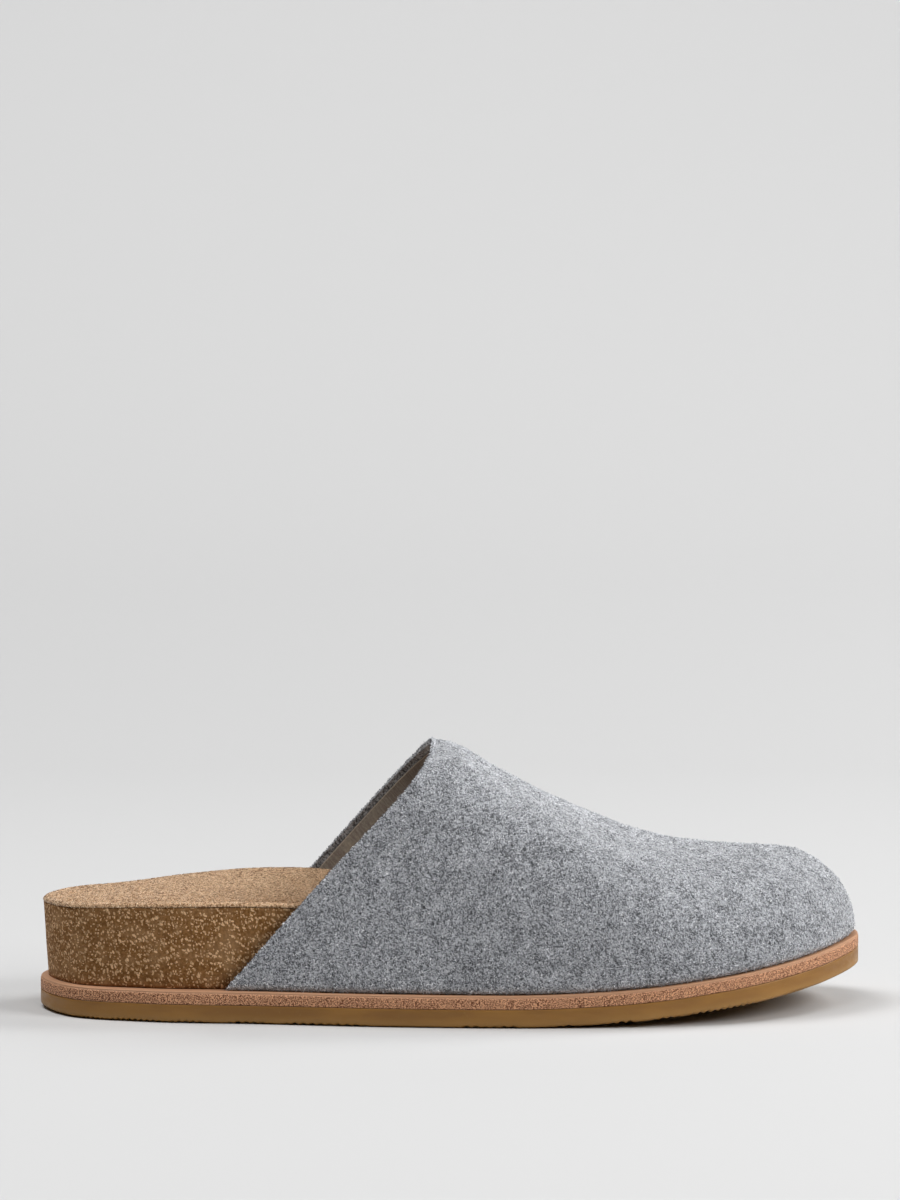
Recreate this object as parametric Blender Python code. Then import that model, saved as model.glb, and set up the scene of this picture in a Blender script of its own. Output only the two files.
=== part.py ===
# Closed-toe felt mule for the right foot, on a cork footbed with a leather welt and a rubber outsole.
# +X points to the toe, -Y to the outer side of the foot and +Z up; the floor is z = 0.
# Sizes and tables are in millimetres, and become metres where a mesh is made.

import math
from collections import namedtuple

import bmesh
import bpy
import numpy as np

# Driving sizes of the sole
SOLE_LENGTH = 260.0
BALL_WIDTH = 90.0
OUTSOLE_THICKNESS = 5.6
WELT_THICKNESS = 4.2
INSOLE_THICKNESS = 1.4
LAYER_GAP = 0.3
SPRING_START_X = 14.0
TOE_SPRING = 11.9
HEEL_ROLL_START_X = -112.0
HEEL_ROLL = 0.8

# Driving sizes of the upper and the cork
FELT_THICKNESS = 2.9
UPPER_INSET = 1.6
TOPLINE_FOOT_X = -70.0
RIDGE_BACK_X = -5.6
RIDGE_FRONT_X = 104.0
RIDGE_BACK_Y = 0.0
RIDGE_FRONT_Y = 7.0
RIDGE_EASE = 1.5
THROAT_SWELL = 0.8
TOE_SWELL = 0.4
THROAT_FULLNESS = 5.0
TOE_FULLNESS = 2.0
THROAT_CROWN = 4.0
TOE_CROWN = 2.0
TOPLINE_BOW = 1.7
CORK_HEEL_INSET_FOOT = 2.4
CORK_HEEL_INSET_TOP = 1.0

# How finely each form is divided
OUTLINE_SAMPLES = 1440
SOLE_STATIONS = 36
HEEL_STATIONS = 12
UPPER_STATIONS = 32
UPPER_LEVELS = 14
FOOTBED_ACROSS = 8
CORK_LEVELS = 3

OUTER = -1
INNER = 1

WELT_FOOT = OUTSOLE_THICKNESS + LAYER_GAP
WELT_TOP = WELT_FOOT + WELT_THICKNESS
SPRING_RADIUS = ((0.5 * SOLE_LENGTH - SPRING_START_X) ** 2 + TOE_SPRING ** 2) / (2 * TOE_SPRING)

# Edge of the welt and the outsole seen from above, from the heel round the outer side
SolePoint = namedtuple("SolePoint", "place x y")
SOLE_OUTLINE = [
    SolePoint("heel back", -130, 0),
    SolePoint("heel corner, outer", -120, -22.6),
    SolePoint("heel, outer", -95, -32.8),
    SolePoint("waist, outer", -60, -37.0),
    SolePoint("waist front, outer", -25, -42.0),
    SolePoint("ball, outer", 30, -45),
    SolePoint("little toe", 70, -41.6),
    SolePoint("toe side, outer", 98, -31.5),
    SolePoint("toe corner, outer", 119, -13.5),
    SolePoint("toe tip", 130, 11.5),
    SolePoint("toe corner, inner", 123.5, 30.5),
    SolePoint("big toe", 103, 41),
    SolePoint("ball, inner", 55, 45),
    SolePoint("arch front", 5, 37),
    SolePoint("arch", -35, 31.2),
    SolePoint("heel, inner", -95, 32.8),
    SolePoint("heel corner, inner", -120, 22.6),
]

# Height of the footbed above the line of the tread, at its two rims and along its middle
FootbedRow = namedtuple("FootbedRow", "x outer middle inner")
FOOTBED = [
    FootbedRow(-130, 35.2, 35.2, 35.2),
    FootbedRow(-108, 36.6, 35.4, 35.2),
    FootbedRow(-85, 37.3, 35.9, 37.4),
    FootbedRow(-63, 37.4, 35.6, 39.5),
    FootbedRow(-45, 36.9, 34.8, 39.8),
    FootbedRow(-18, 33.6, 31.6, 36.5),
    FootbedRow(20, 27.2, 25.6, 28.4),
    FootbedRow(55, 22.8, 22.0, 23.0),
    FootbedRow(95, 20.6, 20.2, 20.6),
    FootbedRow(130, 19.5, 19.5, 19.5),
]

# Height of the upper along the top of the foot
RidgeRow = namedtuple("RidgeRow", "x z")
RIDGE = [
    RidgeRow(-5.6, 84.6),
    RidgeRow(0, 82.3),
    RidgeRow(14, 75.1),
    RidgeRow(30, 66.7),
    RidgeRow(44, 60.4),
    RidgeRow(57, 55.3),
    RidgeRow(70, 52.3),
    RidgeRow(85, 50.9),
    RidgeRow(104, 49.8),
]

# Side of each sole layer, from its foot up: inset from the outline, and height within the layer
EdgeRow = namedtuple("EdgeRow", "inset height")
OUTSOLE_EDGE = [EdgeRow(0.8, 0.0), EdgeRow(0.2, 0.4), EdgeRow(0.0, 1.1), EdgeRow(0.0, OUTSOLE_THICKNESS)]
WELT_EDGE = [
    EdgeRow(0.2, 0.0),
    EdgeRow(0.0, 0.5),
    EdgeRow(0.0, 3.0),
    EdgeRow(0.3, 3.8),
    EdgeRow(1.0, WELT_THICKNESS),
]
INSOLE_EDGE = [EdgeRow(0.1, 0.0), EdgeRow(0.0, 0.7), EdgeRow(0.7, INSOLE_THICKNESS)]

# Colour in sRGB, and roughness
Finish = namedtuple("Finish", "colour roughness")
FINISHES = {
    "outsole": Finish((122, 88, 50), 0.45),
    "welt": Finish((176, 134, 106), 0.7),
    "cork_midsole": Finish((119, 87, 58), 0.9),
    "insole": Finish((192, 160, 132), 0.95),
    "upper": Finish((146, 148, 152), 1.0),
}


def lerp(first, last, share):
    return first + (last - first) * share


def through(knots, rows, at):
    # Smooth curve through the rows of a table, read at the places given
    knots = np.asarray(knots, float)
    rows = np.asarray(rows, float)
    at = np.asarray(at, float)
    slopes = np.gradient(rows, knots, axis=0)
    i = np.clip(np.searchsorted(knots, at) - 1, 0, len(knots) - 2)
    span = knots[i + 1] - knots[i]
    t = (at - knots[i]) / span
    if rows.ndim > 1:
        span = span[..., None]
        t = t[..., None]
    start = rows[i] * (1 + 2 * t) * (1 - t) ** 2 + slopes[i] * span * t * (1 - t) ** 2
    end = rows[i + 1] * (3 - 2 * t) * t ** 2 + slopes[i + 1] * span * (t - 1) * t ** 2
    return start + end


def sole_outline():
    # Closed curve through the outline's points, brought to the length and width of the sole
    rows = np.array([(point.x, point.y) for point in SOLE_OUTLINE], float)
    looped = np.vstack([rows[-3:], rows, rows[:4]])
    steps = np.linalg.norm(np.diff(looped, axis=0), axis=1)
    knots = np.concatenate([[0.0], np.cumsum(steps)])
    at = np.linspace(knots[3], knots[3 + len(rows)], OUTLINE_SAMPLES, endpoint=False)
    curve = through(knots, looped, at)
    middle = 0.5 * (curve.max(axis=0) + curve.min(axis=0))
    return (curve - middle) * np.array([SOLE_LENGTH, BALL_WIDTH]) / np.ptp(curve, axis=0)


def edge_of(outline, side):
    # The outline from the heel back to the toe tip along one side: shares of its length, points, outward normals
    ahead = np.roll(outline, -1, axis=0) - np.roll(outline, 1, axis=0)
    ahead /= np.linalg.norm(ahead, axis=1)[:, None]
    normals = np.column_stack([ahead[:, 1], -ahead[:, 0]])
    heel = int(np.argmin(outline[:, 0]))
    toe = int(np.argmax(outline[:, 0]))
    count = len(outline)
    if side == OUTER:
        order = np.arange(heel, heel + (toe - heel) % count + 1) % count
    else:
        order = np.arange(heel, heel - (heel - toe) % count - 1, -1) % count
    points = outline[order]
    steps = np.linalg.norm(np.diff(points, axis=0), axis=1)
    length = np.concatenate([[0.0], np.cumsum(steps)])
    return length / length[-1], points, normals[order]


OUTLINE = sole_outline()
EDGES = {side: edge_of(OUTLINE, side) for side in (OUTER, INNER)}


def read_edge(side, shares, inset):
    # Points of one side's edge at these shares of its length, moved in from the outline, and the normals there
    lengths, points, normals = EDGES[side]
    place = np.column_stack([np.interp(shares, lengths, points[:, axis]) for axis in range(2)])
    outward = np.column_stack([np.interp(shares, lengths, normals[:, axis]) for axis in range(2)])
    outward /= np.linalg.norm(outward, axis=1)[:, None]
    return place - outward * np.reshape(inset, (-1, 1)), outward


def share_at(side, x):
    # Share of one side's edge where it passes this x, behind the toe's curve
    lengths, points, _ = EDGES[side]
    back = points[:, 0] < 100
    return np.interp(x, points[back, 0], lengths[back])


def spring(x):
    # Lift of the sole in front of the ball, an arc that starts flat
    run = np.maximum(np.asarray(x, float) - SPRING_START_X, 0.0)
    return SPRING_RADIUS - np.sqrt(SPRING_RADIUS ** 2 - run ** 2)


def tread(x):
    # Underside of the outsole: the spring, and a slight roll at the back of the heel
    run = np.maximum(HEEL_ROLL_START_X - np.asarray(x, float), 0.0)
    full = HEEL_ROLL_START_X + 0.5 * SOLE_LENGTH
    return spring(x) + HEEL_ROLL * (run / full) ** 2


def footbed(x, across):
    # Height of the insole's face; across runs from -1 at the outer rim to 1 at the inner rim
    outer, middle, inner = np.moveaxis(through([row.x for row in FOOTBED], [row[1:] for row in FOOTBED], x), -1, 0)
    rim = np.where(across < 0, outer, inner)
    return spring(x) + lerp(middle, rim, np.asarray(across) ** 2)


def upper_face():
    # The felt's outer face: a row for each rib from the topline to the toe, each from the outer foot over to the inner
    along = np.linspace(0.0, 1.0, UPPER_STATIONS + 1)[:, None]
    level = np.sin(0.5 * math.pi * np.linspace(0.0, 1.0, UPPER_LEVELS + 1))[None, :]
    toe = np.clip((along - 0.3) / 0.45, 0.0, 1.0)
    toe = toe * toe * (3 - 2 * toe)
    fullness = lerp(THROAT_FULLNESS, TOE_FULLNESS, toe)
    inward = 1 - (1 - level ** fullness) ** (1 / lerp(THROAT_CROWN, TOE_CROWN, toe))
    ridge = 1 - (1 - along) ** RIDGE_EASE
    ridge_x = lerp(RIDGE_BACK_X, RIDGE_FRONT_X, ridge)
    ridge_y = lerp(RIDGE_BACK_Y, RIDGE_FRONT_Y, ridge)
    ridge_z = through([row.x for row in RIDGE], [row.z for row in RIDGE], ridge_x)
    ridge_slope = np.gradient(ridge_z[:, 0], ridge_x[:, 0])[:, None]
    swell = lerp(THROAT_SWELL, TOE_SWELL, along) * np.sin(math.pi * np.sqrt(level))
    halves = {}
    for side in (OUTER, INNER):
        shares = lerp(share_at(side, TOPLINE_FOOT_X), 1.0, along[:, 0])
        foot, outward = read_edge(side, shares, UPPER_INSET)
        foot_x = foot[:, :1]
        foot_y = foot[:, 1:]
        foot_z = spring(foot_x) + WELT_TOP + LAYER_GAP
        x = lerp(foot_x, ridge_x, lerp(level, inward, toe)) + outward[:, :1] * swell
        y = lerp(foot_y, ridge_y, inward) + outward[:, 1:] * swell
        if side == OUTER:
            x = x + TOPLINE_BOW * np.sin(math.pi * level ** 4) * (1 - along) ** 6
        lean = ridge_slope * toe * (foot_x - ridge_x)
        z = lerp(foot_z, ridge_z, level) + lean * (1 - inward) * level ** 2
        halves[side] = np.stack([x, y, z], axis=-1)
    return np.concatenate([halves[OUTER], halves[INNER][:, -2::-1]], axis=1)


def lining_face(face):
    # The felt's inner face: the outer face moved in by the felt's thickness, with its foot kept on the welt
    over_tip = np.concatenate([face, face[-2:-1, ::-1]])
    along = np.gradient(over_tip, axis=0)[:-1]
    across = np.gradient(face, axis=1)
    normals = np.cross(along, across)
    ridge = UPPER_LEVELS
    normals[-1, ridge] = normals[-2, ridge] + normals[-1, ridge - 1]
    normals /= np.linalg.norm(normals, axis=2)[..., None]
    inner = face - normals * FELT_THICKNESS
    inner[:, [0, -1], 2] = face[:, [0, -1], 2]
    return inner


UPPER_FACE = upper_face()
LINING_FACE = lining_face(UPPER_FACE)


def inside_upper(side, station, z):
    # Where the felt's inner face passes a height on one rib, a gap further in
    column = LINING_FACE[station] if side == OUTER else LINING_FACE[station, ::-1]
    column = column[:UPPER_LEVELS]
    place = np.array([np.interp(z, column[:, 2], column[:, axis]) for axis in range(2)])
    shares = lerp(share_at(side, TOPLINE_FOOT_X), 1.0, station / UPPER_STATIONS)
    outward = read_edge(side, [shares], 0.0)[1][0]
    return place - outward * LAYER_GAP


def cork_side(side, height, heel_inset):
    # One side of a ring round the cork, from the heel back to the toe tip; height gives z at a rim's x
    covered = []
    for station in range(UPPER_STATIONS + 1):
        place = inside_upper(side, station, WELT_TOP + LAYER_GAP)
        for _ in range(4):
            place = inside_upper(side, station, float(height(place[0], side)))
        covered.append(place)
    corner = covered[0]
    corner_share = share_at(side, corner[0])
    corner_inset = abs(read_edge(side, [corner_share], 0.0)[0][0, 1] - corner[1])
    steps = np.arange(HEEL_STATIONS) / HEEL_STATIONS
    bare, _ = read_edge(side, corner_share * steps, lerp(heel_inset, corner_inset, steps ** 2))
    return np.vstack([bare, covered])


def cork_ring(height, heel_inset):
    # Ring round the cork: heel back, outer side, toe tip, inner side
    sides = {side: cork_side(side, height, heel_inset) for side in (OUTER, INNER)}
    return np.vstack([sides[OUTER], sides[INNER][-2:0:-1]])


def sole_ring(inset):
    # Ring round the welt or the outsole, with its points closer together at the heel and the toe
    even = np.linspace(0.0, 1.0, SOLE_STATIONS + 1)
    shares = even - 0.07 * np.sin(2 * math.pi * even)
    outer, _ = read_edge(OUTER, shares, inset)
    inner, _ = read_edge(INNER, shares, inset)
    return np.vstack([outer, inner[-2:0:-1]])


def ring_solid(name, rings, foot_height, top_height, across):
    # Closed solid between stacked rings, with rungs from side to side over its foot and its top
    mesh = bmesh.new()
    loops = [[mesh.verts.new(point) for point in ring] for ring in rings]
    count = len(loops[0])
    for below, above in zip(loops, loops[1:]):
        for i in range(count):
            j = (i + 1) % count
            mesh.faces.new([below[i], below[j], above[j], above[i]])
    for loop, height in ((loops[0], foot_height), (loops[-1], top_height)):
        rungs = [[loop[0]]]
        for i in range(1, count // 2):
            rungs.append(rung(mesh, loop[i], loop[count - i], height, across))
        rungs.append([loop[count // 2]])
        for near, far in zip(rungs, rungs[1:]):
            for k in range(across):
                corners = [near[min(k, len(near) - 1)], far[min(k, len(far) - 1)]]
                corners += [far[min(k + 1, len(far) - 1)], near[min(k + 1, len(near) - 1)]]
                mesh.faces.new(list(dict.fromkeys(corners)))
    bmesh.ops.recalc_face_normals(mesh, faces=mesh.faces)
    return finish(name, mesh)


def rung(mesh, outer, inner, height, across):
    # Vertices from the outer edge to the inner edge, with those between set to the height of the face
    row = [outer]
    for k in range(1, across):
        place = outer.co.lerp(inner.co, k / across)
        place.z = float(height(place.x, 2 * k / across - 1))
        row.append(mesh.verts.new(place))
    return row + [inner]


def upper_solid():
    # The felt: outer and inner faces joined along the foot and along the topline
    mesh = bmesh.new()
    last = 2 * UPPER_LEVELS
    sheets = []
    for face in (UPPER_FACE, LINING_FACE):
        rows = [[mesh.verts.new(point) for point in row] for row in face[:-1]]
        tip = [mesh.verts.new(point) for point in face[-1, :UPPER_LEVELS + 1]]
        rows.append(tip + tip[-2::-1])
        for i in range(UPPER_STATIONS):
            for k in range(last):
                near = (rows[i][k], rows[i][k + 1])
                far = (rows[i + 1][k], rows[i + 1][k + 1])
                if i < UPPER_STATIONS - 1 or k not in (UPPER_LEVELS - 1, UPPER_LEVELS):
                    mesh.faces.new([near[0], near[1], far[1], far[0]])
                elif k == UPPER_LEVELS - 1:
                    mesh.faces.new([near[0], near[1], far[1]])
                    mesh.faces.new([near[0], far[1], far[0]])
                else:
                    mesh.faces.new([near[0], near[1], far[0]])
                    mesh.faces.new([near[1], far[1], far[0]])
        sheets.append(rows)
    outside, inside = sheets
    for k in range(last):
        mesh.faces.new([outside[0][k], outside[0][k + 1], inside[0][k + 1], inside[0][k]])
    for i in range(UPPER_STATIONS):
        for k in (0, last):
            mesh.faces.new([outside[i][k], outside[i + 1][k], inside[i + 1][k], inside[i][k]])
    bmesh.ops.recalc_face_normals(mesh, faces=mesh.faces)
    return finish("upper", mesh)


def finish(name, mesh):
    # Makes the object in metres, smooth shaded, with its own material
    bmesh.ops.scale(mesh, vec=(0.001, 0.001, 0.001), verts=mesh.verts)
    data = bpy.data.meshes.new(name)
    mesh.to_mesh(data)
    mesh.free()
    for polygon in data.polygons:
        polygon.use_smooth = True
    data.set_sharp_from_angle(angle=math.radians(40))
    made = bpy.data.objects.new(name, data)
    bpy.context.scene.collection.objects.link(made)
    material = bpy.data.materials.new(name)
    material.use_nodes = True
    shader = material.node_tree.nodes["Principled BSDF"]
    tones = [channel / 255 for channel in FINISHES[name].colour]
    linear = [tone / 12.92 if tone <= 0.04045 else ((tone + 0.055) / 1.055) ** 2.4 for tone in tones]
    shader.inputs["Base Color"].default_value = (*linear, 1.0)
    shader.inputs["Roughness"].default_value = FINISHES[name].roughness
    shader.inputs["Metallic"].default_value = 0.0
    data.materials.append(material)
    return made


def stacked(ring, heights):
    return np.column_stack([ring, heights])


def cork_foot(x, across):
    return spring(x) + WELT_TOP + LAYER_GAP


def cork_top(x, across):
    return footbed(x, across) - INSOLE_THICKNESS - LAYER_GAP


def insole_foot(x, across):
    return footbed(x, across) - INSOLE_THICKNESS


def rim_heights(ring, height):
    # Height at each point of a ring round the cork: the outer rim to the toe tip, then the inner rim
    half = len(ring) // 2
    return np.array([float(height(x, OUTER if i <= half else INNER)) for i, (x, _) in enumerate(ring)])


def moved_in(ring, inset):
    # A ring drawn in by the same amount all round
    ahead = np.roll(ring, -1, axis=0) - np.roll(ring, 1, axis=0)
    ahead /= np.linalg.norm(ahead, axis=1)[:, None]
    return ring - inset * np.column_stack([ahead[:, 1], -ahead[:, 0]])


for leftover in list(bpy.data.objects):
    bpy.data.objects.remove(leftover)

# Outsole
outsole_rings = []
for row in OUTSOLE_EDGE:
    ring = sole_ring(row.inset)
    base = tread(ring[:, 0]) if row.height < 0.5 * OUTSOLE_THICKNESS else spring(ring[:, 0])
    outsole_rings.append(stacked(ring, base + row.height))
ring_solid("outsole", outsole_rings, None, None, 1)

# Welt
welt_rings = []
for row in WELT_EDGE:
    ring = sole_ring(row.inset)
    welt_rings.append(stacked(ring, spring(ring[:, 0]) + WELT_FOOT + row.height))
ring_solid("welt", welt_rings, None, None, 1)

# Cork midsole
cork_rings = []
for share in np.linspace(0.0, 1.0, CORK_LEVELS + 1):
    def level(x, across):
        return lerp(cork_foot(x, across), cork_top(x, across), share)

    ring = cork_ring(level, lerp(CORK_HEEL_INSET_FOOT, CORK_HEEL_INSET_TOP, share))
    cork_rings.append(stacked(ring, rim_heights(ring, level)))
ring_solid("cork_midsole", cork_rings, cork_foot, cork_top, FOOTBED_ACROSS)

# Insole
insole_rings = []
for row in INSOLE_EDGE:
    def level(x, across):
        return footbed(x, across) - INSOLE_THICKNESS + row.height

    ring = cork_ring(level, CORK_HEEL_INSET_TOP)
    insole_rings.append(stacked(moved_in(ring, row.inset), rim_heights(ring, level)))
ring_solid("insole", insole_rings, insole_foot, footbed, FOOTBED_ACROSS)

# Upper
upper_solid()
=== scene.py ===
# Felt mule on a cork footbed, right foot: its surfaces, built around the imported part.
# Shapes are worked out in millimetres, as the part's own are, and become metres in the meshes.
import math

import bmesh
import bpy
import numpy as np
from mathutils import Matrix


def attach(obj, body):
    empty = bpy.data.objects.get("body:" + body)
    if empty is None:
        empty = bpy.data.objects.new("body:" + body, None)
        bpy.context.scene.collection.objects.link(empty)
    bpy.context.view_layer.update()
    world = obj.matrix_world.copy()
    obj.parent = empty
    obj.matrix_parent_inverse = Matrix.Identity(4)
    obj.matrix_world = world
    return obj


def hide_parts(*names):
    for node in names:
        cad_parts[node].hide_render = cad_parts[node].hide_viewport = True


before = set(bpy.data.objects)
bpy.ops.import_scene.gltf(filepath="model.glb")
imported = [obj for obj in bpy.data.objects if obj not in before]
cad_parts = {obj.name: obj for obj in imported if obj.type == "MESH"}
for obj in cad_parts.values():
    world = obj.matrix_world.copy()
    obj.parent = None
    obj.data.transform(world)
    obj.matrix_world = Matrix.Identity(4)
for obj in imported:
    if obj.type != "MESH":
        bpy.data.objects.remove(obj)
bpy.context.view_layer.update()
print("frame loaded:", sorted(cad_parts))

outerSide = -1  # towards the camera
innerSide = 1
millimetre = 0.001

# what the last and the layers of the sole measure
last = {
    "soleLength": 260.0,
    "ballWidth": 90.0,
    "outsoleHeight": 5.6,
    "weltHeight": 4.2,
    "insoleHeight": 1.4,
    "layerGap": 0.3,
    "springStart": 14.0,
    "toeSpring": 11.9,
    "heelRollStart": -112.0,
    "heelRoll": 0.8,
    "toeCurveStart": 100.0,
    "wall": 2.9,  # felt and lining together
    "upperInset": 1.6,
    "toplineFoot": -70.0,
    "ridgeBack": (-5.6, 0.0),
    "ridgeFront": (104.0, 7.0),
    "ridgeEase": 1.5,
    "toeBlend": (0.3, 0.75),  # where the ribs turn from the throat's shape into the toe's
    "swell": (0.8, 0.4),  # at the throat, at the toe
    "fullness": (5.0, 2.0),
    "crown": (4.0, 2.0),
    "toplineBow": 1.7,
    "corkInset": (2.4, 1.0),  # at the foot, at the top
}
weltFoot = last["outsoleHeight"] + last["layerGap"]
weltTop = weltFoot + last["weltHeight"]
springRun = 0.5 * last["soleLength"] - last["springStart"]
springRadius = (springRun ** 2 + last["toeSpring"] ** 2) / (2 * last["toeSpring"])

# x and y of the sole's edge, from the heel round the outer side
outlinePoints = [
    (-130, 0), (-120, -22.6), (-95, -32.8), (-60, -37), (-25, -42), (30, -45), (70, -41.6),
    (98, -31.5), (119, -13.5), (130, 11.5), (123.5, 30.5), (103, 41), (55, 45), (5, 37),
    (-35, 31.2), (-95, 32.8), (-120, 22.6),
]
# x, then the footbed's height at its outer rim, along its middle and at its inner rim
footbedRows = [
    (-130, 35.2, 35.2, 35.2), (-108, 36.6, 35.4, 35.2), (-85, 37.3, 35.9, 37.4),
    (-63, 37.4, 35.6, 39.5), (-45, 36.9, 34.8, 39.8), (-18, 33.6, 31.6, 36.5),
    (20, 27.2, 25.6, 28.4), (55, 22.8, 22.0, 23.0), (95, 20.6, 20.2, 20.6),
    (130, 19.5, 19.5, 19.5),
]
# x and z of the upper along the top of the foot
ridgeRows = [
    (-5.6, 83.9), (0, 83.0), (14, 75.2), (30, 66.7), (44, 60.4), (57, 55.3), (70, 52.3),
    (85, 50.9), (104, 49.8),
]


def lerp(first, second, share):
    return first + (second - first) * share


def smoothStep(low, high, value):
    share = np.clip((np.asarray(value, float) - low) / (high - low), 0.0, 1.0)
    return share * share * (3 - 2 * share)


def curveThrough(knots, rows, at):
    # smooth curve through the rows of a table, read at the places given
    knots = np.asarray(knots, float)
    rows = np.asarray(rows, float)
    at = np.asarray(at, float)
    slopes = np.gradient(rows, knots, axis=0)
    i = np.clip(np.searchsorted(knots, at) - 1, 0, len(knots) - 2)
    span = knots[i + 1] - knots[i]
    t = (at - knots[i]) / span
    if rows.ndim > 1:
        span = span[..., None]
        t = t[..., None]
    start = rows[i] * (1 + 2 * t) * (1 - t) ** 2 + slopes[i] * span * t * (1 - t) ** 2
    end = rows[i + 1] * (3 - 2 * t) * t ** 2 + slopes[i + 1] * span * (t - 1) * t ** 2
    return start + end


# large numbers that scatter the whole numbers of a lattice point
latticeKeys = np.array([73856093, 19349663, 83492791])
seedKey = 7919
mixKey = 1274126177


def softNoise(places, cell, seed):
    # smooth random swell in -1..1 at each place; cell is the size of one swell
    spots = np.asarray(places, float) / cell
    low = np.floor(spots).astype(np.int64)
    share = spots - low
    share = share * share * (3 - 2 * share)
    total = np.zeros(spots.shape[:-1])
    for corner in np.ndindex(2, 2, 2):
        corner = np.array(corner)
        key = ((low + corner) * latticeKeys).sum(axis=-1) + seed * seedKey
        key = (key ^ (key >> 13)) * mixKey
        value = ((key ^ (key >> 16)) & 0xFFFF) / 32767.5 - 1
        total += value * np.prod(np.where(corner == 1, share, 1 - share), axis=-1)
    return total


def traceOutline(samples=2880, overlap=3):
    # closed curve through the outline's points, brought to the length and width of the sole
    rows = np.array(outlinePoints, float)
    looped = np.vstack([rows[-overlap:], rows, rows[:overlap + 1]])
    knots = np.concatenate([[0.0], np.cumsum(np.linalg.norm(np.diff(looped, axis=0), axis=1))])
    at = np.linspace(knots[overlap], knots[overlap + len(rows)], samples, endpoint=False)
    curve = curveThrough(knots, looped, at)
    middle = 0.5 * (curve.max(axis=0) + curve.min(axis=0))
    return (curve - middle) * np.array([last["soleLength"], last["ballWidth"]]) / np.ptp(curve, axis=0)


def outwardOf(ring):
    # outward normals along a closed ring of points
    ahead = np.roll(ring, -1, axis=0) - np.roll(ring, 1, axis=0)
    ahead /= np.linalg.norm(ahead, axis=1)[:, None]
    return np.column_stack([ahead[:, 1], -ahead[:, 0]])


def sideOf(outline, side):
    # one side from the heel back to the toe tip: shares of its length, points, outward normals
    heel = int(np.argmin(outline[:, 0]))
    toe = int(np.argmax(outline[:, 0]))
    count = len(outline)
    if side == outerSide:
        order = np.arange(heel, heel + (toe - heel) % count + 1) % count
    else:
        order = np.arange(heel, heel - (heel - toe) % count - 1, -1) % count
    points = outline[order]
    length = np.concatenate([[0.0], np.cumsum(np.linalg.norm(np.diff(points, axis=0), axis=1))])
    return length / length[-1], points, outwardOf(outline)[order]


soleOutline = traceOutline()
soleSides = {side: sideOf(soleOutline, side) for side in (outerSide, innerSide)}


def edgeAt(side, shares, inset):
    # points at these shares of one side, moved in from the outline, and the normals there
    lengths, points, normals = soleSides[side]
    place = np.column_stack([np.interp(shares, lengths, points[:, axis]) for axis in range(2)])
    outward = np.column_stack([np.interp(shares, lengths, normals[:, axis]) for axis in range(2)])
    outward /= np.linalg.norm(outward, axis=1)[:, None]
    return place - outward * np.reshape(inset, (-1, 1)), outward


def shareAt(side, x):
    # share of one side's edge where it passes this x, behind the toe's curve
    lengths, points, _ = soleSides[side]
    back = points[:, 0] < last["toeCurveStart"]
    return np.interp(x, points[back, 0], lengths[back])


def spring(x):
    # lift of the sole in front of the ball, an arc that starts flat
    run = np.maximum(np.asarray(x, float) - last["springStart"], 0.0)
    return springRadius - np.sqrt(springRadius ** 2 - run ** 2)


def tread(x):
    # underside of the rubber: the spring, and a slight roll at the back of the heel
    run = np.maximum(last["heelRollStart"] - np.asarray(x, float), 0.0)
    full = last["heelRollStart"] + 0.5 * last["soleLength"]
    return spring(x) + last["heelRoll"] * (run / full) ** 2


def footbed(x, across):
    # height of the insole's face; across runs from -1 at the outer rim to 1 at the inner rim
    rows = np.array(footbedRows)
    outer, middle, inner = np.moveaxis(curveThrough(rows[:, 0], rows[:, 1:], x), -1, 0)
    rim = np.where(np.asarray(across) < 0, outer, inner)
    return spring(x) + lerp(middle, rim, np.asarray(across) ** 2)


def feltFace(along, levels):
    # outer face of the felt: a row for each rib from the topline to the toe,
    # which runs from the outer foot over the ridge to the inner foot
    along = np.asarray(along, float)[:, None]
    level = np.sin(0.5 * math.pi * np.linspace(0.0, 1.0, levels + 1))[None, :]
    toe = smoothStep(*last["toeBlend"], along)
    inward = 1 - (1 - level ** lerp(*last["fullness"], toe)) ** (1 / lerp(*last["crown"], toe))
    ridge = 1 - (1 - along) ** last["ridgeEase"]
    ridgeX = lerp(last["ridgeBack"][0], last["ridgeFront"][0], ridge)
    ridgeY = lerp(last["ridgeBack"][1], last["ridgeFront"][1], ridge)
    rows = np.array(ridgeRows, float)
    ridgeZ = curveThrough(rows[:, 0], rows[:, 1], ridgeX)
    ridgeSlope = np.gradient(ridgeZ[:, 0], ridgeX[:, 0])[:, None]
    swell = lerp(*last["swell"], along) * np.sin(math.pi * np.sqrt(level))
    halves = {}
    for side in (outerSide, innerSide):
        shares = lerp(shareAt(side, last["toplineFoot"]), 1.0, along[:, 0])
        foot, outward = edgeAt(side, shares, last["upperInset"])
        footX = foot[:, :1]
        footZ = spring(footX) + weltTop + last["layerGap"]
        x = lerp(footX, ridgeX, lerp(level, inward, toe)) + outward[:, :1] * swell
        y = lerp(foot[:, 1:], ridgeY, inward) + outward[:, 1:] * swell
        if side == outerSide:
            x = x + last["toplineBow"] * np.sin(math.pi * level ** 4) * (1 - along) ** 6
        lean = ridgeSlope * toe * (footX - ridgeX)
        z = lerp(footZ, ridgeZ, level) + lean * (1 - inward) * level ** 2
        halves[side] = np.stack([x, y, z], axis=-1)
    return np.concatenate([halves[outerSide], halves[innerSide][:, -2::-1]], axis=1)


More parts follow.
